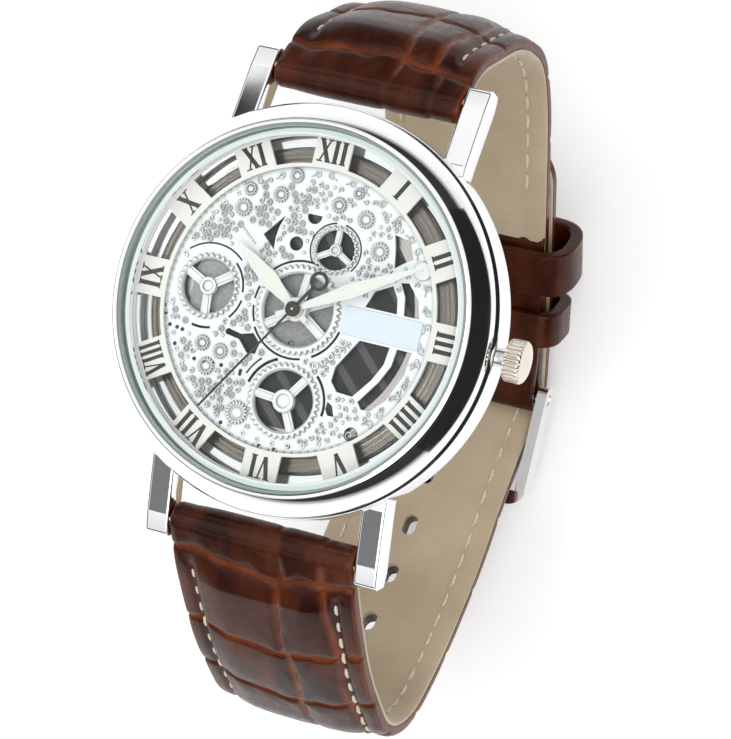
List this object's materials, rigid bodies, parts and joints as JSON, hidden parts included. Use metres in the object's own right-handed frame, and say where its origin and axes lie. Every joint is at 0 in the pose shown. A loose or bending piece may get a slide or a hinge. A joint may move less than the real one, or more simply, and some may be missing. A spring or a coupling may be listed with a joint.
{
  "type": "skeleton wristwatch",
  "caption": "Skeleton wristwatch with a domed bezel, open dial, turning hands and gear train, pull-out crown and a buckled embossed leather strap.",
  "frame": {"origin": "centre of the case back's outer face", "axes": "+Z out of the dial, +Y towards 12 o'clock, +X towards the crown at 3 o'clock"},
  "size_m": [0.0435, 0.0734, 0.0609],
  "materials": {
    "case_steel": "polished",
    "back_steel": "brushed",
    "crown_metal": "polished",
    "crystal_glass": "clear",
    "seal_rubber": "matte",
    "holder_metal": "turned",
    "dial_silver": "satin",
    "name_plate_paint": "satin",
    "hour_plate_cream": "satin",
    "hand_white": "satin",
    "inlay_cream": "matte",
    "second_hand_black": "gloss",
    "train_brass": "turned",
    "arbor_steel": "polished",
    "movement_plate": "grained",
    "copper_winding": "enamelled",
    "circuit_green": "satin",
    "battery_steel": "satin",
    "strap_leather": "embossed",
    "strap_lining": "woven",
    "buckle_steel": "polished",
    "stitch_thread": "twisted",
    "numeral_ink": "matte"
  },
  "bodies": {
    "root": {"case_middle": "case_steel", "bezel": "case_steel", "flange_ring": "case_steel", "case_back": "back_steel", "crystal": "crystal_glass", "crystal_gasket": "seal_rubber", "case_back_gasket": "seal_rubber", "movement_holder": "holder_metal", "dial": "dial_silver", "name_plate": "name_plate_paint", "hour_ring": "hour_plate_cream", "crown_tube": "arbor_steel", "movement_screws": "arbor_steel", "battery_clip": "arbor_steel", "spring_bar_12_sleeve": "arbor_steel", "spring_bar_6_sleeve": "arbor_steel", "spring_bar_12_spring": "arbor_steel", "spring_bar_6_spring": "arbor_steel", "stator": "arbor_steel", "coil_core": "arbor_steel", "main_plate": "movement_plate", "cover_plate": "movement_plate", "train_bridge": "movement_plate", "coil": "copper_winding", "circuit_board": "circuit_green", "battery": "battery_steel", "quartz_can": "battery_steel", "strap_12_leather": "strap_leather", "strap_6_leather": "strap_leather", "fixed_keeper": "strap_leather", "strap_12_lining": "strap_lining", "strap_6_lining": "strap_lining"},
    "second_hand": {"second_hand": "second_hand_black", "seconds_wheel": "train_brass"},
    "minute_hand": {"minute_hand": "hand_white", "minute_hand_inlay": "inlay_cream", "centre_wheel": "train_brass"},
    "hour_hand": {"hour_hand": "hand_white", "hour_hand_inlay": "inlay_cream", "hour_wheel": "train_brass"},
    "third_wheel": {"third_wheel": "train_brass"},
    "intermediate_wheel": {"intermediate_wheel": "train_brass"},
    "rotor": {"rotor": "arbor_steel"},
    "minute_wheel": {"minute_wheel": "train_brass"},
    "sliding_pinion": {"sliding_pinion": "arbor_steel"},
    "crown": {"crown": "crown_metal", "stem": "arbor_steel", "crown_gasket": "seal_rubber"},
    "setting_lever": {"setting_lever": "arbor_steel"},
    "buckle": {"buckle_frame": "buckle_steel", "buckle_pin": "buckle_steel"},
    "buckle_tongue": {"buckle_tongue": "buckle_steel"},
    "sliding_keeper": {"sliding_keeper": "strap_leather"},
    "bar_12_pin_right": {"spring_bar_12_pin_right": "arbor_steel"},
    "bar_12_pin_left": {"spring_bar_12_pin_left": "arbor_steel"},
    "bar_6_pin_right": {"spring_bar_6_pin_right": "arbor_steel"},
    "bar_6_pin_left": {"spring_bar_6_pin_left": "arbor_steel"}
  },
  "joints": [
    {"name": "second_hand_turn", "type": "hinge", "parent": "root", "child": "second_hand", "pos_m": [0, 0, 0.006], "axis": [0, 0, -1], "continuous": true},
    {"name": "minute_hand_turn", "type": "hinge", "parent": "root", "child": "minute_hand", "pos_m": [0, 0, 0.006], "axis": [0, 0, -1], "continuous": true},
    {"name": "hour_hand_turn", "type": "hinge", "parent": "root", "child": "hour_hand", "pos_m": [0, 0, 0.006], "axis": [0, 0, -1], "continuous": true},
    {"name": "third_wheel_turn", "type": "hinge", "parent": "root", "child": "third_wheel", "pos_m": [0.00153, 0.00265, 0.002], "axis": [0, 0, -1], "continuous": true},
    {"name": "intermediate_wheel_turn", "type": "hinge", "parent": "root", "child": "intermediate_wheel", "pos_m": [-0.00211, -0.00077, 0.002], "axis": [0, 0, -1], "continuous": true},
    {"name": "rotor_turn", "type": "hinge", "parent": "root", "child": "rotor", "pos_m": [-0.00369, -0.00134, 0.002], "axis": [0, 0, -1], "continuous": true},
    {"name": "minute_wheel_turn", "type": "hinge", "parent": "root", "child": "minute_wheel", "pos_m": [-0.0002, -0.00329, 0.0043], "axis": [0, 0, -1], "continuous": true},
    {"name": "crown_turn", "type": "hinge", "parent": "root", "child": "sliding_pinion", "pos_m": [0.0066, 0, 0.0039], "axis": [1, 0, 0], "continuous": true},
    {"name": "crown_pull", "type": "slide", "parent": "sliding_pinion", "child": "crown", "axis": [1, 0, 0], "range_m": [0, 0.0008]},
    {"name": "setting_lever_turn", "type": "hinge", "parent": "root", "child": "setting_lever", "pos_m": [0.0096, 0.0022, 0.0045], "axis": [0, 0, 1], "range_deg": [0, 21]},
    {"name": "buckle_swing", "type": "hinge", "parent": "root", "child": "buckle", "pos_m": [0, -0.0037, -0.0483], "axis": [1, 0, 0], "range_deg": [0, 4]},
    {"name": "tongue_lift", "type": "hinge", "parent": "buckle", "child": "buckle_tongue", "pos_m": [0, -0.0037, -0.0483], "axis": [1, 0, 0], "range_deg": [0, 4]},
    {"name": "keeper_slide", "type": "slide", "parent": "root", "child": "sliding_keeper", "axis": [0, 0.7945, 0.6073], "range_m": [0, 0.008]},
    {"name": "bar_12_pin_right_press", "type": "slide", "parent": "root", "child": "bar_12_pin_right", "axis": [-1, 0, 0], "range_m": [0, 0.0013], "stiffness_N_per_m": 1000, "springref_m": -0.0005},
    {"name": "bar_12_pin_left_press", "type": "slide", "parent": "root", "child": "bar_12_pin_left", "axis": [1, 0, 0], "range_m": [0, 0.0013], "stiffness_N_per_m": 1000, "springref_m": -0.0005},
    {"name": "bar_6_pin_right_press", "type": "slide", "parent": "root", "child": "bar_6_pin_right", "axis": [-1, 0, 0], "range_m": [0, 0.0013], "stiffness_N_per_m": 1000, "springref_m": -0.0005},
    {"name": "bar_6_pin_left_press", "type": "slide", "parent": "root", "child": "bar_6_pin_left", "axis": [1, 0, 0], "range_m": [0, 0.0013], "stiffness_N_per_m": 1000, "springref_m": -0.0005}
  ],
  "couplings": [
    {"joint": "minute_hand_turn", "follows": "second_hand_turn", "ratio": 0.016667},
    {"joint": "hour_hand_turn", "follows": "second_hand_turn", "ratio": 0.0013889},
    {"joint": "third_wheel_turn", "follows": "second_hand_turn", "ratio": -0.13333},
    {"joint": "intermediate_wheel_turn", "follows": "second_hand_turn", "ratio": -5},
    {"joint": "rotor_turn", "follows": "second_hand_turn", "ratio": 30},
    {"joint": "minute_wheel_turn", "follows": "second_hand_turn", "ratio": -0.0055556},
    {"joint": "setting_lever_turn", "follows": "crown_pull", "rad_per_m": 454.55}
  ]
}
